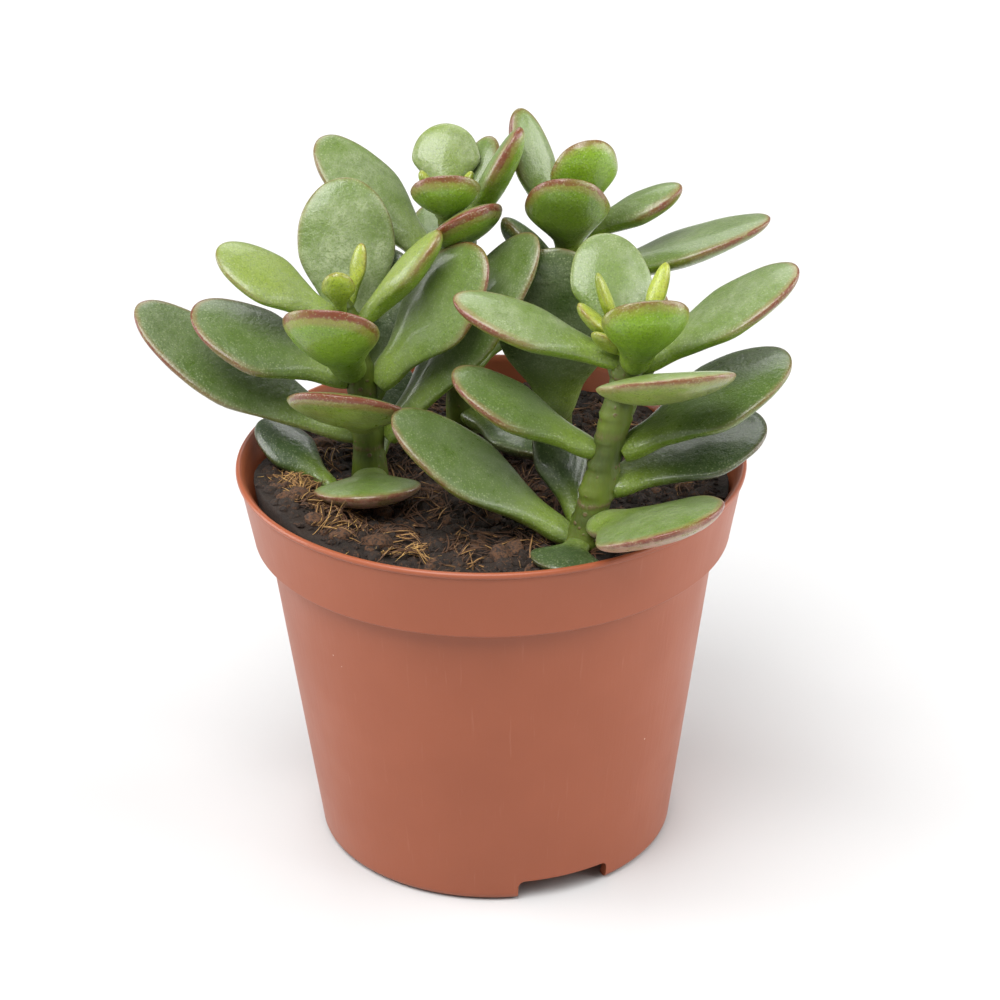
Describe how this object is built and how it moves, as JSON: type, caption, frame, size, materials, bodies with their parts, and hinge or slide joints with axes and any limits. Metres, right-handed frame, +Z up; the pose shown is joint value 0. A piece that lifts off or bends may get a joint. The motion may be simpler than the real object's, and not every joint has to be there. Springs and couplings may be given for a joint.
{
  "type": "potted jade plant",
  "caption": "Small jade plant with thick rounded succulent leaves on upright stems, in a terracotta-coloured plastic nursery pot.",
  "frame": {"origin": "under the middle of the whole plant's box, on the surface the pot stands on; the pot's axis is 5.4 mm to the right of it and 2.6 mm behind", "axes": "+Z up, +X to the right and +Y to the back seen from the front"},
  "size_m": [0.1138, 0.0997, 0.1276],
  "materials": {
    "pot": "satin",
    "soil": "matte",
    "stem": "satin",
    "leaf": "satin",
    "young_leaf": "satin"
  },
  "bodies": {
    "root": {"left_leaf_1_back": "leaf", "left_leaf_1_front": "leaf", "left_leaf_1_left": "leaf", "left_leaf_2_left": "leaf", "left_leaf_2_right": "leaf", "left_leaf_3_back": "leaf", "left_leaf_3_front": "leaf", "left_leaf_4_left": "leaf", "left_leaf_4_right": "leaf", "left_leaf_5_back": "leaf", "left_leaf_5_front": "leaf", "left_leaf_6_left": "leaf", "left_leaf_6_right": "leaf", "left_leaf_7_back": "young_leaf", "left_leaf_7_front": "young_leaf", "left_stem": "stem", "pot": "pot", "rear_leaf_1_front": "leaf", "rear_leaf_2_back": "leaf", "rear_leaf_3_back": "leaf", "rear_leaf_4_left": "leaf", "rear_leaf_5_back": "leaf", "rear_leaf_5_front": "leaf", "rear_leaf_6_right": "leaf", "rear_leaf_7_back": "young_leaf", "rear_leaf_7_front": "young_leaf", "rear_leaf_8_left": "young_leaf", "rear_leaf_8_right": "young_leaf", "rear_stem": "stem", "right_leaf_1_back": "leaf", "right_leaf_1_front": "leaf", "right_leaf_1_left": "leaf", "right_leaf_2_front": "leaf", "right_leaf_2_right": "leaf", "right_leaf_3_left": "leaf", "right_leaf_3_right": "leaf", "right_leaf_4_back": "leaf", "right_leaf_4_front": "leaf", "right_leaf_5_left": "leaf", "right_leaf_5_right": "leaf", "right_leaf_6_back": "leaf", "right_leaf_6_front": "leaf", "right_leaf_7_front": "young_leaf", "right_leaf_7_left": "young_leaf", "right_leaf_8_left": "young_leaf", "right_leaf_8_right": "young_leaf", "right_stem": "stem", "soil": "soil", "tall_leaf_2_back": "leaf", "tall_leaf_3_front": "leaf", "tall_leaf_4_back": "leaf", "tall_leaf_4_left": "leaf", "tall_leaf_4_right": "leaf", "tall_leaf_5_front": "leaf", "tall_leaf_5_left": "leaf", "tall_leaf_5_right": "leaf", "tall_leaf_7_back": "young_leaf", "tall_leaf_7_front": "young_leaf", "tall_stem": "stem"}
  },
  "joints": []
}
